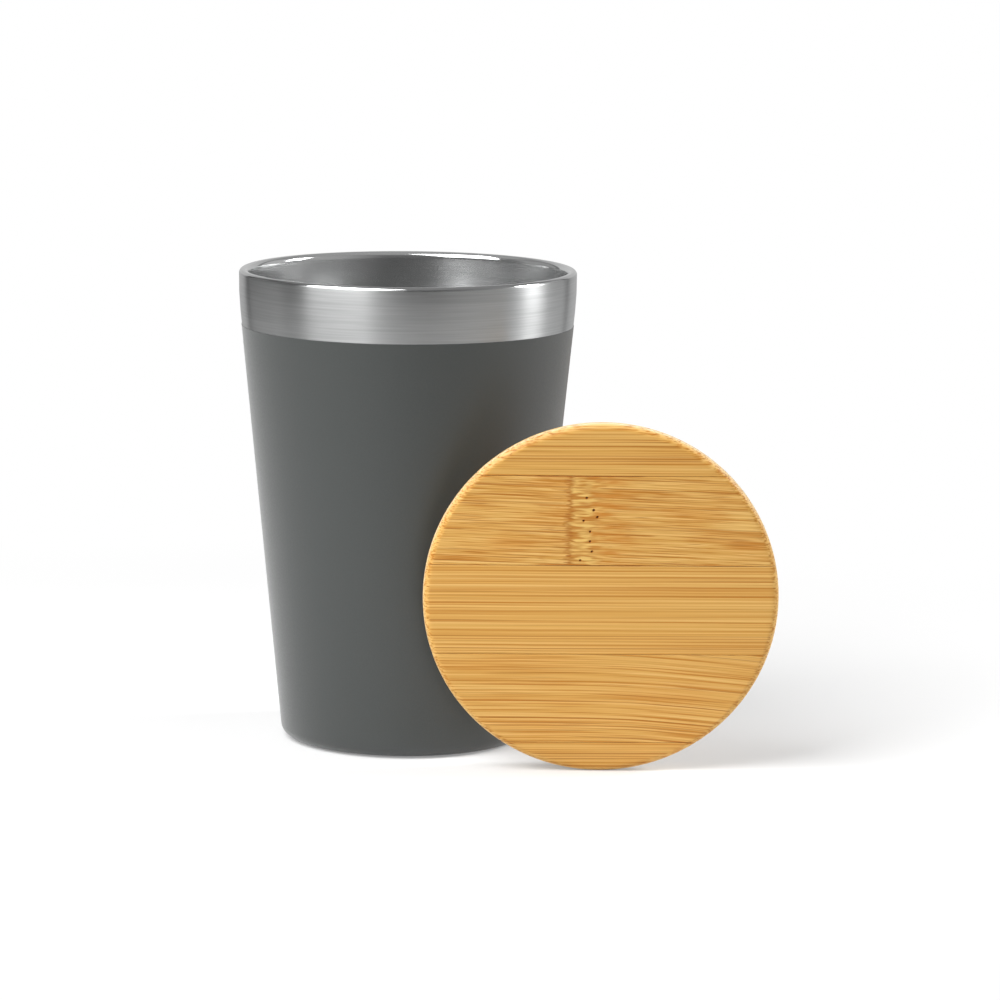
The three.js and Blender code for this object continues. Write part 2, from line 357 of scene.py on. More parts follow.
def liner_radius(z):
    """Radius of the inner wall's cone at a height, on the side that holds the drink."""
    top = (mouth[0] - lip_inner * math.cos(lean), mouth[1] + lip_inner * math.sin(lean))
    return top[0] - (top[1] - z) * math.tan(lean)


liner_corner_height = liner_floor + LINER_CORNER
liner_corner = (liner_radius(liner_corner_height) - LINER_CORNER / math.cos(lean), liner_corner_height)


def shell_side(out):
    """The outer wall from its flange to the weld, moved out by a distance."""
    return [
        (flange_radius, flange_height - out),
        *arc(corner, BASE_CORNER + out, -90, -lean_degrees),
        *arc(rim, RIM_ARC + out, -lean_degrees, lip_start)[:-1],
        *arc(lip, LIP_ROUND + out, lip_start, 90),
        (weld_radius, cup_height + out),
    ]


def liner_side(out):
    """The inner wall from the middle of its floor to the weld, moved out by a distance."""
    return [
        (0, liner_floor - out),
        *arc(liner_corner, LINER_CORNER + out, -90, -lean_degrees),
        *arc(mouth, lip_inner - out, 180 - lean_degrees, 90),
        (weld_radius, cup_height - out),
    ]


def below(points, height):
    """The part of a rising profile that lies below a height, cut off level there."""
    kept = [p for p in points if p[1] < height]
    last, following = kept[-1], points[len(kept)]
    share = (height - last[1]) / (following[1] - last[1])
    return kept + [(last[0] + share * (following[0] - last[0]), height)]


def make_shell():
    return turned("steel_shell", shell_side(0) + shell_side(-SHEET)[::-1])


def make_coat():
    outer = below(shell_side(COAT_BUILD), paint_line - COAT_EDGE)
    inner = below(shell_side(COAT_GAP), paint_line)
    return turned("grey_coat", outer + inner[::-1])


def make_liner():
    return turned("steel_liner", liner_side(SHEET) + liner_side(0)[::-1])


def make_pad():
    """A moulded pad with round ribs on its underside."""
    low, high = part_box("base_pad")
    radius, bottom, top = high.x / MM, low.z / MM, high.z / MM
    profile = [(0, bottom + PAD_RIB_DEPTH)]
    pitch = (radius - PAD_BORDER) / PAD_RIBS
    for i in range(PAD_RIBS):
        middle = (i + 0.5) * pitch
        for share in PAD_RIB_PLACES:
            rise = PAD_RIB_DEPTH * math.sqrt(1 - share * share)
            profile.append((middle + share * PAD_RIB_WIDTH / 2, bottom + PAD_RIB_DEPTH - rise))
    profile += [
        (radius - PAD_BORDER, bottom + PAD_RIB_DEPTH),
        (radius - PAD_BORDER + PAD_RIB_DEPTH, bottom),
        (radius - PAD_CHAMFER, bottom),
        (radius, bottom + PAD_CHAMFER),
        (radius, top - PAD_CHAMFER),
        (radius - PAD_CHAMFER, top),
        (0, top),
    ]
    return turned("rubber_pad", profile)


# Lid

SLATS = [f"lid_slat_{i + 1}" for i in range(len(SLAT_GRAIN))]
lid_rotation = Matrix.Rotation(math.radians(LID_TURN), 4, "Z")
lid_rotation @= Matrix.Rotation(math.radians(90 + LID_TILT), 4, "X")


def in_lid(nodes, frame_matrix):
    """Lowest and highest corner of some nodes along the lid's own axes, in millimetres."""
    inverse = frame_matrix.inverted()
    points = [inverse @ v.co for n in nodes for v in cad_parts[n].data.vertices]
    return np.min(points, axis=0) / MM, np.max(points, axis=0) / MM


disc_low, disc_high = in_lid(SLATS, lid_rotation)
lid_middle = Vector((disc_low[0] + disc_high[0], disc_low[1] + disc_high[1], 2 * disc_high[2])) / 2 * MM
lid_matrix = lid_rotation @ Matrix.Translation(lid_middle)
lid_radius = (disc_high[1] - disc_low[1]) / 2
lid_thickness = disc_high[2] - disc_low[2]
slat_ranges = [in_lid([n], lid_matrix) for n in SLATS]
seams = [(slat_ranges[i][0][1] + slat_ranges[i + 1][1][1]) / 2 for i in range(len(SLATS) - 1)]


def knuckle_dents():
    """Pores, and short strokes pressed into the face: (x, y, half length, half width, slope, depth)."""
    rng = np.random.default_rng(STROKE_SEED)
    low = slat_ranges[KNUCKLE_SLAT][0][1] + STROKE_MARGIN
    high = slat_ranges[KNUCKLE_SLAT][1][1] - STROKE_MARGIN
    dents = []
    for x, y in KNUCKLE_PORES:
        radius = PORE_RADIUS * rng.uniform(*PORE_SPREAD)
        dents.append((x, y, PORE_STRETCH * radius, radius, 0, PORE_DEPTH))
    for y in np.arange(low + LINE_START, high, LINE_PITCH):
        x = KNUCKLE_LINE + LINE_SWAY * math.sin(LINE_TURNS * y) + rng.uniform(*LINE_STROKES["along"])
        length = rng.uniform(*LINE_STROKES["length"])
        width = rng.uniform(*LINE_STROKES["width"])
        middle = y + rng.uniform(*LINE_STROKES["shift"])
        slope = rng.uniform(*LINE_STROKES["slope"])
        depth = rng.uniform(*LINE_STROKES["depth"])
        dents.append((x, middle, length, width, slope, depth))
    for kind in FIBRE_STROKES:
        for _ in range(kind["count"]):
            x = rng.uniform(kind["from"], kind["to"])
            y = rng.uniform(low, high)
            length = rng.uniform(*kind["length"])
            width = rng.uniform(*FIBRE_WIDTH)
            slope = rng.uniform(-kind["steep"], kind["steep"]) - FIBRE_FALL
            depth = rng.uniform(FIBRE_SHALLOWEST, 1) * kind["deep"]
            dents.append((x, y, length, width, slope, depth))
    return dents


def dented(xs, y, dents):
    """How deep the face lies below its plane at places in one row."""
    depth = np.zeros(len(xs))
    for x, middle, length, width, slope, deepest in dents:
        if abs(y - middle) > width + abs(slope) * length:
            continue
        along = np.asarray(xs) - x
        away = (along / length) ** 2 + ((y - middle - slope * along) / width) ** 2
        depth = np.maximum(depth, deepest * np.clip(1 - away, 0, 1))
    return depth


def slat_row(y, inset, dents):
    """The outline of the disc's cut at a distance from its middle, drawn in by an inset."""
    middle = lid_radius - LID_EDGE
    reach = min(1, max(-1, (abs(y) - middle) / (LID_EDGE - inset)))
    steepest = min(90, math.degrees(math.acos(reach)))
    steps = math.ceil(90 / ARC_STEP)
    side = []
    for i in range(steps + 1):
        angle = math.radians(min(steepest, 90 - 90 * i / steps))
        r = middle + (LID_EDGE - inset) * math.cos(angle)
        z = (LID_EDGE - inset) * math.sin(angle) - LID_EDGE
        side.append((math.sqrt(max(0, r * r - y * y)), z))
    side += [(x, -lid_thickness - z) for x, z in side[::-1]]
    half, top = side[0]
    across = np.linspace(-half, half, SLAT_COLUMNS + 1)[1:-1]
    face = across
    if dents:
        low, high = KNUCKLE_SPAN
        left = np.linspace(-half, low, SLAT_COLUMNS // 2)[1:-1]
        right = np.linspace(high, half, SLAT_COLUMNS // 2)[1:-1]
        face = np.concatenate([left, np.linspace(low, high, round((high - low) / FINE_STEP)), right])
    depths = dented(face, y, dents) if inset == 0 else np.zeros(len(face))
    row = [(x, y, top - depth) for x, depth in zip(face, depths)]
    row += [(x, y, z) for x, z in side]
    row += [(-x, y, -lid_thickness - top) for x in across]
    row += [(-x, y, z) for x, z in side[::-1]]
    return row


def make_slat(index):
    """One bamboo slat: the disc between two seams, bevelled along them."""
    low = seams[index] + SEAM_GAP / 2 if index < len(seams) else -lid_radius
    high = seams[index - 1] - SEAM_GAP / 2 if index > 0 else lid_radius
    first = low + SEAM_BEVEL if index < len(seams) else low
    last = high - SEAM_BEVEL if index > 0 else high
    dents = knuckle_dents() if index == KNUCKLE_SLAT else []
    start, end = (math.asin(max(-1, min(1, y / lid_radius))) for y in (first, last))
    steps = math.ceil(math.degrees(end - start) / SLAT_STEP)
    if dents:
        steps = math.ceil((last - first) / FINE_STEP)
    turns = [start + (end - start) * i / steps for i in range(steps + 1)]
    rows = [slat_row(lid_radius * math.sin(turn), 0, dents) for turn in turns]
    if index < len(seams):
        rows.insert(0, slat_row(low, SEAM_BEVEL, dents))
    if index > 0:
        rows.append(slat_row(high, SEAM_BEVEL, dents))
    count = len(rows[0])
    verts = [v for row in rows for v in row]
    faces = []
    for i in range(len(rows) - 1):
        for j in range(count):
            k = (j + 1) % count
            faces.append((i * count + j, i * count + k, (i + 1) * count + k, (i + 1) * count + j))
    if index < len(seams):
        faces.append(tuple(range(count)))
    if index > 0:
        faces.append(tuple(range(len(verts) - count, len(verts))))
    return finish_mesh(f"bamboo_slat_{index + 1}", verts, faces, lid_matrix)


def make_plug():
    low, high = in_lid(["lid_plug"], lid_matrix)
    radius, bottom, top = (high[1] - low[1]) / 2, low[2], high[2]
    seal_low, seal_high = in_lid(["lid_seal"], lid_matrix)
    groove = (seal_low[2] + seal_high[2]) / 2
    profile = [
        (0, bottom),
        (radius - PLUG_CHAMFER, bottom),
        (radius, bottom + PLUG_CHAMFER),
        (radius, groove - GROOVE_WIDTH / 2 - PLUG_EASE),
        (radius - PLUG_EASE, groove - GROOVE_WIDTH / 2),
        (radius - GROOVE_DEPTH, groove - GROOVE_WIDTH / 2),
        (radius - GROOVE_DEPTH, groove + GROOVE_WIDTH / 2),
        (radius - PLUG_EASE, groove + GROOVE_WIDTH / 2),
        (radius, groove + GROOVE_WIDTH / 2 + PLUG_EASE),
        (radius, top),
        (0, top),
    ]
    return turned("bamboo_plug", profile, lid_matrix)


def make_seal():
    """A soft ring with two round-tipped lips."""
    low, high = in_lid(["lid_seal"], lid_matrix)
    plug_low, plug_high = in_lid(["lid_plug"], lid_matrix)
    root = (plug_high[1] - plug_low[1]) / 2
    reach = (high[1] - low[1]) / 2
    to_lid = lid_matrix.inverted()
    points = [to_lid @ v.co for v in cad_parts["lid_seal"].data.vertices]
    inside = min(math.hypot(p.x, p.y) for p in points) / MM
    middle, half = (low[2] + high[2]) / 2, (high[2] - low[2]) / 2
    profile = [(inside, middle - half), (root, middle - half)]
    for side in (-1, 1):
        tip = middle + side * half / 2
        profile += arc((reach - SEAL_TIP, tip), SEAL_TIP, -90, 90)
        if side < 0:
            profile.append((root, middle))
    profile += [(root, middle + half), (inside, middle + half)]
    return turned("silicone_seal", profile, lid_matrix)


# Colours

def srgb(red, green, blue):
    """A colour written as 0 to 255 screen values."""
    def linear(value):
        share = value / 255
        return share / 12.92 if share <= 0.04045 else ((share + 0.055) / 1.055) ** 2.4
    return (linear(red), linear(green), linear(blue), 1.0)


STEEL_DARK = srgb(172, 173, 173)
STEEL_LIGHT = srgb(186, 187, 187)
STEEL_POLISHED = srgb(205, 206, 206)
SATIN_DARK = srgb(158, 159, 159)
SATIN_LIGHT = srgb(176, 177, 177)
# Painted light: the liner deep in the cup is made paler to offset the shade there
PAINTED_LIGHT_DEEP_DARK = srgb(206, 207, 207)
PAINTED_LIGHT_DEEP_PALE = srgb(218, 219, 219)
COAT_DARK = srgb(64, 67, 66)
COAT_LIGHT = srgb(70, 73, 72)
COAT_CLOUD = srgb(66, 69, 68)
RUBBER_DARK = srgb(52, 54, 54)
RUBBER_LIGHT = srgb(64, 66, 66)
RUBBER_DUST = srgb(70, 72, 71)
SILICONE_DARK = srgb(222, 220, 213)
SILICONE_LIGHT = srgb(234, 232, 226)
BAND_PALE = srgb(229, 180, 99)
BAND_DARK = srgb(218, 164, 81)
PATCH_WARM = srgb(214, 147, 64)
EDGE_SANDED = srgb(254, 230, 174)
# Colour of the painted highlight along the line where the lid's rounded edge meets its side
PAINTED_ARRIS_HIGHLIGHT = srgb(255, 246, 220)
STREAK_DARK = srgb(196, 126, 44)
STREAK_PALE = srgb(243, 201, 123)
BUNDLE_DARK = srgb(174, 103, 32)
HAIR_DARK = srgb(164, 95, 28)
KNUCKLE_PALE = srgb(244, 206, 120)
KNUCKLE_BROWN = srgb(190, 121, 40)
KNUCKLE_SHADOW = srgb(182, 118, 44)
KNUCKLE_STAIN = srgb(204, 128, 40)
KNUCKLE_STROKE = srgb(168, 88, 8)
# Dark of the pores: partly their own colour, partly painted shade in the pits
PORE_DARK_AND_SHADE = srgb(48, 27, 12)


# Patterns

# Sizes of their features along the three axes
LONG_LINES = (40, 40, 0.45)
SHORT_LINES = (16, 16, 0.35)
LINER_GRAIN = (0.35, 0.35, 0.35)
COAT_PEEL = (0.45, 0.45, 0.45)
COAT_SPECK = (0.12, 0.12, 0.12)
COAT_CLOUDS = (25, 25, 35)
RUBBER_GRAIN = (0.25, 0.25, 0.25)
RUBBER_CLOUDS = (9, 9, 9)
SILICONE_CLOUDS = (5, 5, 5)
SILICONE_GRAIN = (0.2, 0.2, 0.2)
FIBRE_DRIFT = (24, 6, 1)
FIBRE_RISE = (26, 1.1, 1)
FIBRE_BANDS = (90, 2.0, 3.0)
FIBRE_STREAKS = (40, 0.46, 0.6)
FIBRE_HAIRS = (22, 0.26, 0.3)
FIBRE_PATCHES = (34, 5, 6)
KNUCKLE_RAGGED = (2.5, 0.5, 0.8)
KNUCKLE_SWAY = (1, 4, 1)
KNUCKLE_MOTTLE = (5.5, 0.75, 0.9)
KNUCKLE_STAINS = (10, 1.2, 1.4)

# Levels of noise between which a colour comes in
NOISE_RANGE = (0.3, 0.7)
SATIN_LEVELS = (0.35, 0.65)
SPECK_LEVELS = (0.35, 0.7)
DUST_LEVELS = (0.35, 0.7)
BAND_LEVELS = (0.36, 0.64)
PATCH_LEVELS = (0.45, 0.75)
DARK_STREAK_LEVELS = (0.49, 0.66)
PALE_STREAK_LEVELS = (0.5, 0.34)
HAIR_LEVELS = (0.58, 0.76)
BUNDLE_LEVELS = (0.12, 0.34)
TINT_LEVELS = (0.35, 1.0)
MOTTLE_LEVELS = (0.38, 0.6)
STAIN_LEVELS = (0.45, 0.62)

# Looks of the metal pieces that the cup hides, which keep their own shapes
HIDDEN_METALS = {
    "outer_base": {
        "name": "base_steel",
        "dark": srgb(150, 151, 151),
        "light": srgb(185, 186, 186),
        "grain_size": (14, 0.4, 0.4),
        "roughness": 0.4,
    },
    "seal_bead": {
        "name": "solder",
        "dark": srgb(120, 122, 123),
        "light": srgb(160, 162, 163),
        "grain_size": (0.7, 0.7, 0.7),
        "roughness": 0.45,
    },
    "getter": {
        "name": "getter_metal",
        "dark": srgb(86, 85, 83),
        "light": srgb(120, 119, 116),
        "grain_size": (0.3, 0.3, 0.3),
        "roughness": 0.65,
    },
}


def stretched(sizes, length=1.0, width=1.0, depth=1.0):
    """The sizes of a pattern, longer along the fibres or wider across them."""
    return (sizes[0] * length, sizes[1] * width, sizes[2] * depth)


# Finishes

class Nodes:
    """A node tree. Each call adds a node and gives back an output to build on."""

    def __init__(self, tree):
        self.nodes = tree.nodes
        self.links = tree.links

    def feed(self, socket, value):
        if isinstance(value, bpy.types.NodeSocket):
            self.links.new(value, socket)
        else:
            socket.default_value = value

    def add(self, kind, inputs=None, output=0, **settings):
        node = self.nodes.new(kind)
        for name, value in settings.items():
            setattr(node, name, value)
        for socket, value in (inputs or {}).items():
            self.feed(node.inputs[socket], value)
        return node.outputs[output]

    def split(self, vector):
        node = self.nodes.new("ShaderNodeSeparateXYZ")
        self.links.new(vector, node.inputs[0])
        return node.outputs

    def join(self, x, y, z):
        return self.add("ShaderNodeCombineXYZ", {0: x, 1: y, 2: z})

    def math(self, operation, a, b=0.0, c=0.0):
        return self.add("ShaderNodeMath", {0: a, 1: b, 2: c}, operation=operation)

    def noise(self, place, sizes, seed=0.0, detail=2.0, roughness=0.5):
        """Smooth noise whose features have these sizes in millimetres along the three axes."""
        scale = tuple(1 / (MM * s) for s in sizes)
        vector = self.add("ShaderNodeVectorMath", {0: place, 1: scale}, operation="MULTIPLY")
        inputs = {"Vector": vector, "W": seed, "Scale": 1.0, "Detail": detail, "Roughness": roughness}
        return self.add("ShaderNodeTexNoise", inputs, noise_dimensions="4D")

    def step(self, value, low, high, start=0.0, end=1.0):
        """A smooth step from start to end as the value goes from low to high."""
        inputs = {"Value": value, "From Min": low, "From Max": high, "To Min": start, "To Max": end}
        return self.add("ShaderNodeMapRange", inputs, interpolation_type="SMOOTHSTEP")

    def spread(self, noise, start=0.0, end=1.0):
        """Noise stretched from its usual levels over a range."""
        return self.step(noise, *NOISE_RANGE, start, end)

    def fall(self, value, low, high):
        """A smooth step from 1 to 0."""
        return self.step(value, low, high, 1.0, 0.0)

    def times(self, a, b):
        return self.math("MULTIPLY", a, b)

    def window(self, value, rise, fall):
        """1 between a smooth rise and a smooth fall, each a pair of places in millimetres."""
        up = self.step(value, rise[0] * MM, rise[1] * MM)
        return self.times(up, self.fall(value, fall[0] * MM, fall[1] * MM))

    def mix(self, factor, a, b):
        """A colour between two others."""
        return self.add("ShaderNodeMix", {0: factor, 6: a, 7: b}, output=2, data_type="RGBA")

    def blend(self, factor, a, b):
        """A number between two others."""
        return self.add("ShaderNodeMix", {0: factor, 2: a, 3: b}, data_type="FLOAT")

    def bump(self, height, distance):
        """Bump from a height of 0 to 1 over a distance in millimetres."""
        return self.add("ShaderNodeBump", {"Height": height, "Distance": distance * MM, "Strength": 1.0})


class Finish(Nodes):
    """A procedural material around one shader, with its constants set on the shader's own sockets."""

    def __init__(self, name, constants):
        self.material = bpy.data.materials.new(name)
        self.material.use_nodes = True
        super().__init__(self.material.node_tree)
        self.shader = self.nodes["Principled BSDF"]
        for socket, value in constants.items():
            self.shader.inputs[socket].default_value = value
        self.place = self.add("ShaderNodeTexCoord", output="Object")

    def enter(self, matrix):
        """Measures places along the axes of a matrix from here on."""
        inverse = matrix.inverted()
        inputs = {"Vector": self.place, "Location": inverse.translation, "Rotation": inverse.to_euler()}
        self.place = self.add("ShaderNodeMapping", inputs)

    def surface(self, **sockets):
        """Links outputs to the shader: base_color goes to Base Color, and so on."""
        for name, value in sockets.items():
            self.links.new(value, self.shader.inputs[name.replace("_", " ").title()])


def brushed(finish, roughness, polish, depth):
    """Fine turned lines round the axis, with a mirror finish where polish is 1."""
    long_lines = finish.noise(finish.place, LONG_LINES, 1.0, 1.0)
    short_lines = finish.noise(finish.place, SHORT_LINES, 2.0, 1.0)
    lines = finish.blend(0.5, long_lines, short_lines)
    wear = finish.math("MULTIPLY_ADD", lines, LINE_WEAR, -LINE_WEAR / 2)
    worn = finish.math("ADD", roughness, wear)
    finish.surface(roughness=finish.blend(polish, worn, POLISH_ROUGHNESS))
    height = finish.times(lines, finish.math("SUBTRACT", 1.0, polish))
    finish.surface(normal=finish.bump(height, depth))
    finish.surface(tangent=finish.add("ShaderNodeTangent", direction_type="RADIAL", axis="Z"))
    return lines


def shell_finish():
    finish = Finish("brushed_steel", {"Metallic": 1.0, "Anisotropic": 0.92, "Anisotropic Rotation": 0.25})
    height = finish.split(finish.place)[2]
    edge = cup_height - POLISH_OUTSIDE
    polish = finish.step(height, (edge - OUTSIDE_FADE) * MM, edge * MM)
    lines = brushed(finish, SHELL_ROUGHNESS, polish, SHELL_LINE_DEPTH)
    colour = finish.mix(finish.spread(lines), STEEL_DARK, STEEL_LIGHT)
    finish.surface(base_color=finish.mix(polish, colour, STEEL_POLISHED))
    return finish.material


def liner_finish():
    """Steel that is polished at the lip, satin below it and paler further down, where the paleness is painted
    light against the shade in the cup.
    """
    finish = Finish("satin_steel", {"Anisotropic": 0.2, "Anisotropic Rotation": 0.25})
    height = finish.split(finish.place)[2]
    edge = cup_height - POLISH_INSIDE
    polish = finish.step(height, (edge - INSIDE_FADE) * MM, (edge + INSIDE_FADE) * MM)
    deep = finish.fall(height, (cup_height - DEEP_END) * MM, (cup_height - DEEP_START) * MM)
    satin = cup_height - SATIN_END
    metallic = finish.step(height, (satin - SATIN_FADE) * MM, satin * MM, 1.0, SATIN_METALLIC)
    finish.surface(metallic=metallic)
    roughness = finish.blend(deep, LINER_ROUGHNESS, DEEP_ROUGHNESS)
    lines = brushed(finish, roughness, polish, LINER_LINE_DEPTH)
    grain = finish.noise(finish.place, LINER_GRAIN, 3.0, 1.0)
    tone = finish.step(finish.blend(0.6, lines, grain), *SATIN_LEVELS)
    colour = finish.mix(tone, SATIN_DARK, SATIN_LIGHT)
    # Painted light: paler steel deeper in the cup, against the shade there
    colour = finish.mix(deep, colour, finish.mix(tone, PAINTED_LIGHT_DEEP_DARK, PAINTED_LIGHT_DEEP_PALE))
    finish.surface(base_color=finish.mix(polish, colour, STEEL_POLISHED))
    return finish.material


def coat_finish():
    finish = Finish("powder_coat", {"Specular IOR Level": 0.5, "Sheen Weight": 0.4, "Sheen Roughness": 0.42})
    peel = finish.noise(finish.place, COAT_PEEL, 0.0, 2.0)
    speck = finish.noise(finish.place, COAT_SPECK, 1.0, 1.0)
    cloud = finish.noise(finish.place, COAT_CLOUDS, 2.0, 2.0)
    fine = finish.mix(finish.step(speck, *SPECK_LEVELS), COAT_DARK, COAT_LIGHT)
    finish.surface(base_color=finish.mix(finish.spread(cloud, 0.0, 0.35), fine, COAT_CLOUD))
    finish.surface(roughness=finish.spread(peel, 0.4, 0.5))
    finish.surface(normal=finish.bump(finish.blend(0.4, peel, speck), 0.012))
    return finish.material


def rubber_finish():
    finish = Finish("pad_rubber", {"Specular IOR Level": 0.3})
    grain = finish.noise(finish.place, RUBBER_GRAIN, 0.0, 3.0)
    cloud = finish.noise(finish.place, RUBBER_CLOUDS, 1.0, 2.0)
    colour = finish.mix(finish.spread(grain), RUBBER_DARK, RUBBER_LIGHT)
    dust = finish.step(cloud, *DUST_LEVELS, 0.0, 0.5)
    finish.surface(base_color=finish.mix(dust, colour, RUBBER_DUST))
    finish.surface(roughness=finish.spread(cloud, 0.75, 0.9))
    finish.surface(normal=finish.bump(grain, 0.02))
    return finish.material


def metal_finish(name, dark, light, grain_size, roughness):
    """Bare metal with a rolled or pressed grain."""
    finish = Finish(name, {"Metallic": 1.0})
    grain = finish.noise(finish.place, grain_size, 0.0, 3.0)
    finish.surface(base_color=finish.mix(finish.spread(grain), dark, light))
    finish.surface(roughness=finish.spread(grain, roughness - 0.08, roughness + 0.08))
    finish.surface(normal=finish.bump(grain, 0.01))
    return finish.material


def silicone_finish():
    finish = Finish("silicone", {"Specular IOR Level": 0.4, "Subsurface Weight": 0.2})
    cloud = finish.noise(finish.place, SILICONE_CLOUDS, 0.0, 2.0)
    grain = finish.noise(finish.place, SILICONE_GRAIN, 1.0, 2.0)
    finish.surface(base_color=finish.mix(finish.spread(cloud), SILICONE_DARK, SILICONE_LIGHT))
    finish.surface(roughness=finish.spread(grain, 0.42, 0.56))
    finish.surface(normal=finish.bump(grain, 0.006))
    return finish.material


def fibre_places(finish, seed, length, wander, slope, bend):
    """Where a point lies along the fibres, across them and below the face, as they bend and wander."""
    x, y, z = finish.split(finish.place)
    past = finish.math("SUBTRACT", x, BEND_START * MM)
    eased = finish.math("SQRT", finish.math("MULTIPLY_ADD", past, past, (BEND_EASE * MM) ** 2))
    right = finish.times(finish.math("ADD", past, eased), 0.5)
    fall = finish.math("ADD", finish.times(x, slope), finish.times(right, bend))
    drift = finish.noise(finish.join(x, finish.times(y, DRIFT_SQUASH), 0.0), FIBRE_DRIFT, seed + 7, 1.0)
    shift = finish.times(finish.math("SUBTRACT", drift, 0.5), (WAVE + BENT_WAVE * bend) * MM)
    across = finish.math("ADD", finish.math("ADD", y, fall), shift)
    rise = finish.noise(finish.join(x, across, 0.0), stretched(FIBRE_RISE, length), seed + 5, 1.0)
    sink = finish.times(finish.math("SUBTRACT", rise, 0.5), 2 * wander * MM)
    return finish.join(x, across, finish.math("ADD", z, sink))


def bundles(finish, place, seed):
    """Fibre bundles: where they are, and how dark each one is."""
    _, across, depth = finish.split(place)
    spot = finish.join(across, depth, seed)
    spot = finish.add("ShaderNodeVectorMath", {0: spot, 1: (1 / MM, 1 / MM, 1.0)}, operation="MULTIPLY")
    inputs = {"Vector": spot, "Scale": 1 / BUNDLE_SPACING, "Randomness": 1.0}
    cells = finish.nodes.new("ShaderNodeTexVoronoi")
    cells.voronoi_dimensions = "2D"
    for socket, value in inputs.items():
        finish.feed(cells.inputs[socket], value)
    bundle = finish.fall(cells.outputs["Distance"], *BUNDLE_LEVELS)
    tint = finish.step(finish.split(cells.outputs["Color"])[0], *TINT_LEVELS, 0.05, 0.8)
    return bundle, tint


def edge_colour(finish, colour, sanded_and_highlight):
    """Pales the disc's rounded edge, and paints a highlight along the line where it meets the side."""
    z = finish.split(finish.place)[2]

    def below_face(radii):
        return [share * LID_EDGE * MM for share in radii]

    rounding = finish.step(z, *below_face(ROUNDING), sanded_and_highlight, 0.0)
    colour = finish.mix(rounding, colour, EDGE_SANDED)
    # A painted highlight along the line where the rounded edge meets the side
    front = finish.step(z, *below_face(HIGHLIGHT_FRONT), sanded_and_highlight, 0.0)
    painted_highlight = finish.times(front, finish.step(z, *below_face(HIGHLIGHT_BACK)))
    return finish.mix(painted_highlight, colour, PAINTED_ARRIS_HIGHLIGHT)


def knuckle_colour(finish, colour, seed):
    """Shades the knuckle's line, mottles and stains the wood on its right, darkens the strokes pressed in,
    and darkens the pores, partly with painted shade.
    """
    x, y, z = finish.split(finish.place)
    ragged = finish.noise(finish.place, KNUCKLE_RAGGED, seed + 11, 2.0)
    sway = finish.noise(finish.join(0.0, y, 0.0), KNUCKLE_SWAY, seed + 14, 1.0)
    bends = finish.math("SUBTRACT", finish.math("ADD", ragged, sway), 1.0)
    along = finish.math("ADD", x, finish.times(bends, KNUCKLE_SWING * MM))
    mottle = finish.noise(finish.place, KNUCKLE_MOTTLE, seed + 12, 1.0)
    mottled = finish.mix(finish.step(mottle, *MOTTLE_LEVELS), KNUCKLE_PALE, KNUCKLE_BROWN)
    inside = finish.window(along, MOTTLE_RISE, MOTTLE_FALL)
    colour = finish.mix(finish.times(inside, MOTTLE_STRENGTH), colour, mottled)
    line = finish.window(along, SHADOW_RISE, SHADOW_FALL)
    colour = finish.mix(finish.times(line, SHADOW_STRENGTH), colour, KNUCKLE_SHADOW)
    stain = finish.step(finish.noise(finish.place, KNUCKLE_STAINS, seed + 13, 2.0), *STAIN_LEVELS)
    begins = finish.step(along, STAIN_RISE[0] * MM, STAIN_RISE[1] * MM)
    reach = finish.times(begins, finish.fall(x, STAIN_FALL[0] * MM, STAIN_FALL[1] * MM))
    stained = finish.times(finish.times(stain, reach), STAIN_STRENGTH)
    colour = finish.mix(stained, colour, KNUCKLE_STAIN)
    pressed = finish.window(x, PRESSED_RISE, PRESSED_FALL)
    stroke = finish.step(z, STROKE_DEPTHS[0] * MM, STROKE_DEPTHS[1] * MM, STROKE_STRENGTH, 0.0)
    colour = finish.mix(finish.times(stroke, pressed), colour, KNUCKLE_STROKE)
    # The pores' dark is partly their own colour and partly painted shade in the pits
    pore_shade = finish.fall(z, PORE_SHADE_DEPTHS[0] * MM, PORE_SHADE_DEPTHS[1] * MM)
    return finish.mix(finish.times(pore_shade, pressed), colour, PORE_DARK_AND_SHADE)


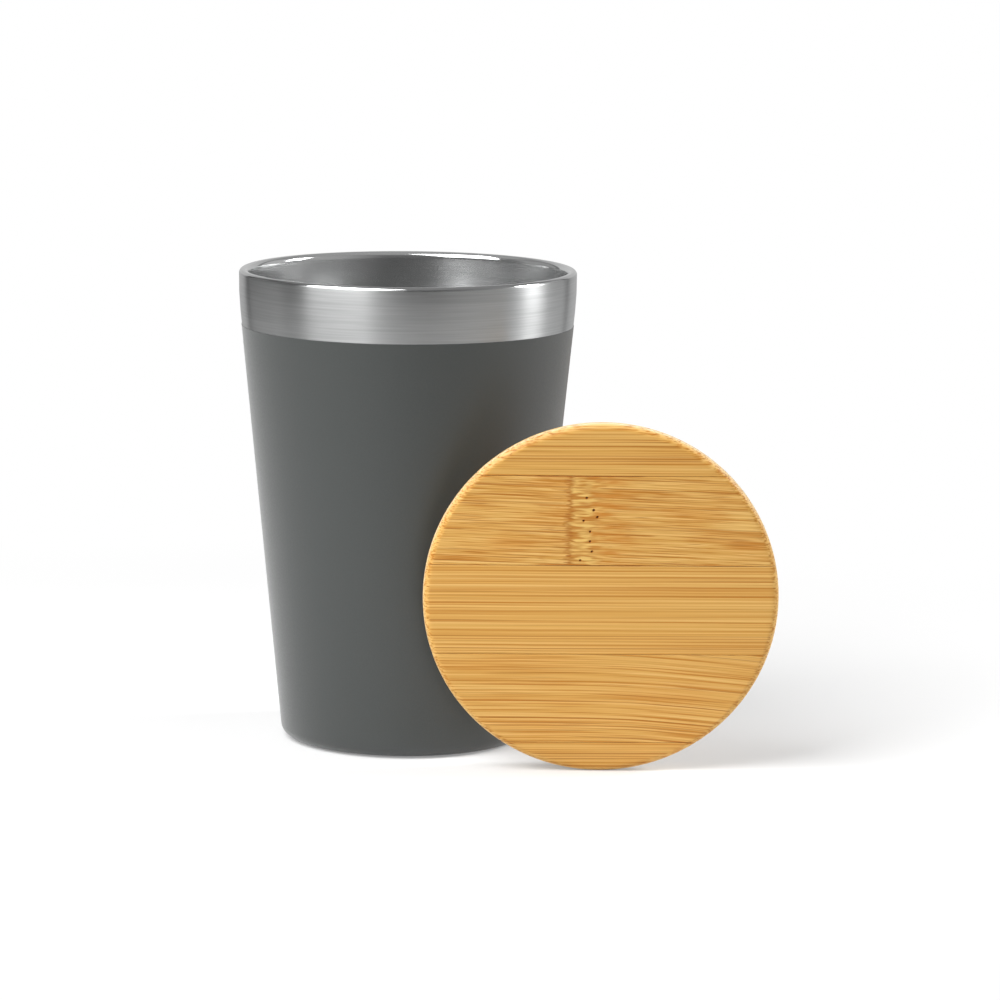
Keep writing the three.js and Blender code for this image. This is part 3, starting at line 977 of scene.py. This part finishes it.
def bamboo(
    name, seed, length=1.0, width=1.0, contrast=1.0, wander=0.5,
    slope=0.0, bend=0.0, warm=0.0, sanded_and_highlight=0.0, knuckle=False,
):
    """Bamboo with fibres along X, drawn through the whole solid, so that cut ends show as dots.

    Length and width stretch the lines, and contrast makes them stronger. Wander is how far fibres rise and
    sink through the face, in millimetres. Slope is their fall to the right, and bend the further fall on the
    right half. Warm makes the darker patches stronger, and sanded_and_highlight makes the rounded edge paler
    and sets how strong the painted highlight is along the line where the edge meets the side.
    """
    finish = Finish(name, {"Specular IOR Level": 0.28})
    finish.enter(lid_matrix)
    place = fibre_places(finish, seed, length, wander, slope, bend)
    bands = finish.noise(place, stretched(FIBRE_BANDS, length, width), seed, 2.0)
    streaks = finish.noise(place, stretched(FIBRE_STREAKS, length, width, width), seed + 1, 2.0, 0.6)
    hairs = finish.noise(place, stretched(FIBRE_HAIRS, length, width), seed + 2, 1.0)
    patches = finish.noise(place, stretched(FIBRE_PATCHES, length), seed + 3, 1.0)
    bundle, tint = bundles(finish, place, seed)
    dark_streaks = finish.step(streaks, *DARK_STREAK_LEVELS, 0.0, min(1.0, DARK_STREAKS * contrast))
    pale_streaks = finish.step(streaks, *PALE_STREAK_LEVELS, 0.0, PALE_STREAKS * contrast)
    colour = finish.mix(finish.step(bands, *BAND_LEVELS), BAND_PALE, BAND_DARK)
    colour = finish.mix(finish.step(patches, *PATCH_LEVELS, 0.0, WARM_PATCHES + warm), colour, PATCH_WARM)
    colour = edge_colour(finish, colour, sanded_and_highlight)
    colour = finish.mix(dark_streaks, colour, STREAK_DARK)
    colour = finish.mix(pale_streaks, colour, STREAK_PALE)
    colour = finish.mix(finish.times(bundle, tint), colour, BUNDLE_DARK)
    colour = finish.mix(finish.step(hairs, *HAIR_LEVELS, 0.0, DARK_HAIRS * contrast), colour, HAIR_DARK)
    if knuckle:
        colour = knuckle_colour(finish, colour, seed)
    finish.surface(base_color=colour)
    finish.surface(roughness=finish.spread(streaks, 0.4, 0.5))
    finish.surface(normal=finish.bump(finish.blend(0.4, streaks, bundle), 0.008))
    return finish.material


# Stage

def seen_rays(tree):
    """1 for rays that show the floor as such: from the camera, in gloss and metal, and through glass."""
    path = tree.nodes.new("ShaderNodeLightPath").outputs
    mirrored = tree.math("MAXIMUM", path["Is Glossy Ray"], path["Is Transmission Ray"])
    return tree.math("MAXIMUM", path["Is Camera Ray"], mirrored)


def make_floor():
    """A round pale floor that keeps shadows and is white elsewhere, so that its edge doesn't show."""
    ring = [(math.cos(a), math.sin(a), 0) for a in np.linspace(0, 2 * math.pi, SIDES, endpoint=False)]
    mesh = bpy.data.meshes.new("floor")
    mesh.from_pydata([[FLOOR_RADIUS * c for c in v] for v in ring], [], [tuple(range(SIDES))])
    floor = bpy.data.objects.new("floor", mesh)
    bpy.context.scene.collection.objects.link(floor)
    material = bpy.data.materials.new("floor")
    material.use_nodes = True
    material.node_tree.nodes.clear()
    tree = Nodes(material.node_tree)
    seen = seen_rays(tree)
    place = tree.add("ShaderNodeTexCoord", output="Object")
    distance = tree.add("ShaderNodeVectorMath", {0: place}, output="Value", operation="LENGTH")
    far = tree.step(distance, FLOOR_FADE * FLOOR_RADIUS, FLOOR_WHITE * FLOOR_RADIUS)
    pale = tree.blend(seen, FLOOR_BOUNCE, FLOOR_SHADE)
    pale = tree.blend(tree.times(far, seen), pale, 0.0)
    diffuse = tree.add("ShaderNodeBsdfDiffuse", {"Color": tree.join(pale, pale, pale)})
    glow = tree.times(seen, tree.blend(far, FLOOR_GLOW, 1.0))
    light = tree.add("ShaderNodeEmission", {"Strength": glow})
    both = tree.add("ShaderNodeAddShader", {0: diffuse, 1: light})
    output = tree.nodes.new("ShaderNodeOutputMaterial")
    tree.links.new(both, output.inputs["Surface"])
    mesh.materials.append(material)


def make_world():
    """White for the camera and through glass. Other rays see a dark studio with a low pale backdrop behind.

    Gloss and metal also see a ceiling, and a card in front on the right.
    """
    world = bpy.data.worlds.new("studio")
    bpy.context.scene.world = world
    world.use_nodes = True
    world.node_tree.nodes.clear()
    tree = Nodes(world.node_tree)
    x, y, z = tree.split(tree.add("ShaderNodeTexCoord", output="Generated"))
    level = tree.math("SQRT", tree.math("ADD", tree.times(x, x), tree.times(y, y)))
    turn = tree.times(tree.math("ARCCOSINE", tree.math("DIVIDE", y, level)), 180 / math.pi)
    studio = tree.step(x, *STUDIO_EDGE, STUDIO_LEVEL, STUDIO_RIGHT)
    wall = tree.times(tree.step(turn, *WALL_NEAR), tree.fall(turn, *WALL_FAR))
    wall = tree.times(wall, tree.fall(z, *WALL_TOP))
    backdrop = tree.times(tree.fall(turn, *BACKDROP_SIDE), tree.fall(z, *BACKDROP_TOP))
    side = tree.step(x, *SIDE_EDGE, SIDE_LEFT, SIDE_RIGHT)
    studio = tree.blend(wall, studio, side)
    studio = tree.blend(backdrop, studio, BACKDROP_LEVEL)
    path = tree.nodes.new("ShaderNodeLightPath").outputs
    ceiling = tree.step(z, *CEILING_EDGE, 0.0, CEILING_LEVEL)
    card = tree.times(tree.step(x, *CARD_EDGE, 0.0, CARD_LEVEL), tree.fall(y, *CARD_BACK))
    gloss = tree.times(tree.math("MAXIMUM", ceiling, card), path["Is Glossy Ray"])
    studio = tree.math("MAXIMUM", studio, gloss)
    seen = tree.math("MAXIMUM", path["Is Camera Ray"], path["Is Transmission Ray"])
    strength = tree.blend(seen, studio, 1.0)
    background = tree.add("ShaderNodeBackground", {"Color": (1.0, 1.0, 1.0, 1.0), "Strength": strength})
    output = tree.nodes.new("ShaderNodeOutputWorld")
    tree.links.new(background, output.inputs["Surface"])


def make_softbox(name, azimuth, elevation, distance, width, height, radiance):
    """A soft lamp that faces the cup. Azimuth 0 is in front, and 90 is on the right."""
    lamp = bpy.data.lights.new(name, "AREA")
    lamp.shape = "RECTANGLE"
    lamp.size, lamp.size_y = width, height
    lamp.energy = 4 * width * height * radiance
    softbox = bpy.data.objects.new(name, lamp)
    bpy.context.scene.collection.objects.link(softbox)
    a, e = math.radians(azimuth), math.radians(elevation)
    direction = Vector((math.sin(a) * math.cos(e), -math.cos(a) * math.cos(e), math.sin(e)))
    softbox.location = Vector(LAMP_TARGET) + direction * distance
    softbox.rotation_euler = (-direction).to_track_quat("-Z", "Y").to_euler()
    softbox.visible_camera = False


def make_camera():
    data = bpy.data.cameras.new("camera")
    data.lens = CAMERA_LENS
    data.sensor_width = CAMERA_SENSOR
    camera = bpy.data.objects.new("camera", data)
    bpy.context.scene.collection.objects.link(camera)
    turn = Matrix.Rotation(math.radians(90 - CAMERA_PITCH), 4, "X")
    turn @= Matrix.Rotation(math.radians(CAMERA_ROLL), 4, "Z")
    camera.matrix_world = Matrix.Translation(Vector(CAMERA_PLACE) * MM) @ turn
    bpy.context.scene.camera = camera


# The whole

def dress(piece, material, slot, body, *nodes):
    """Gives a new piece its finish and its body, and lets it stand for its nodes."""
    piece.data.materials.append(material)
    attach(piece, body)
    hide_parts(*nodes)


def repaint(node, material):
    """Gives a node that keeps its own shape a better finish."""
    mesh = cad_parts[node].data
    mesh.materials.clear()
    mesh.materials.append(material)


dress(make_shell(), shell_finish(), "shell_steel", "cup", "outer_shell")
dress(make_coat(), coat_finish(), "grey_coat", "cup", "powder_coat")
dress(make_liner(), liner_finish(), "liner_steel", "cup", "inner_liner")
dress(make_pad(), rubber_finish(), "pad_rubber", "cup", "base_pad")
for node, look in HIDDEN_METALS.items():
    repaint(node, metal_finish(**look))
for index, node in enumerate(SLATS):
    wood = bamboo(f"bamboo_{index + 1}", SLAT_SEED * index, sanded_and_highlight=SANDED_AND_HIGHLIGHT, **SLAT_GRAIN[index])
    dress(make_slat(index), wood, "bamboo", "lid", node)
dress(make_plug(), bamboo("plug_bamboo", PLUG_SEED), "plug_bamboo", "lid", "lid_plug")
dress(make_seal(), silicone_finish(), "silicone", "lid", "lid_seal")

make_floor()
make_world()
for lamp in LAMPS:
    make_softbox(**lamp)
make_camera()
bpy.context.scene.view_settings.view_transform = "Standard"
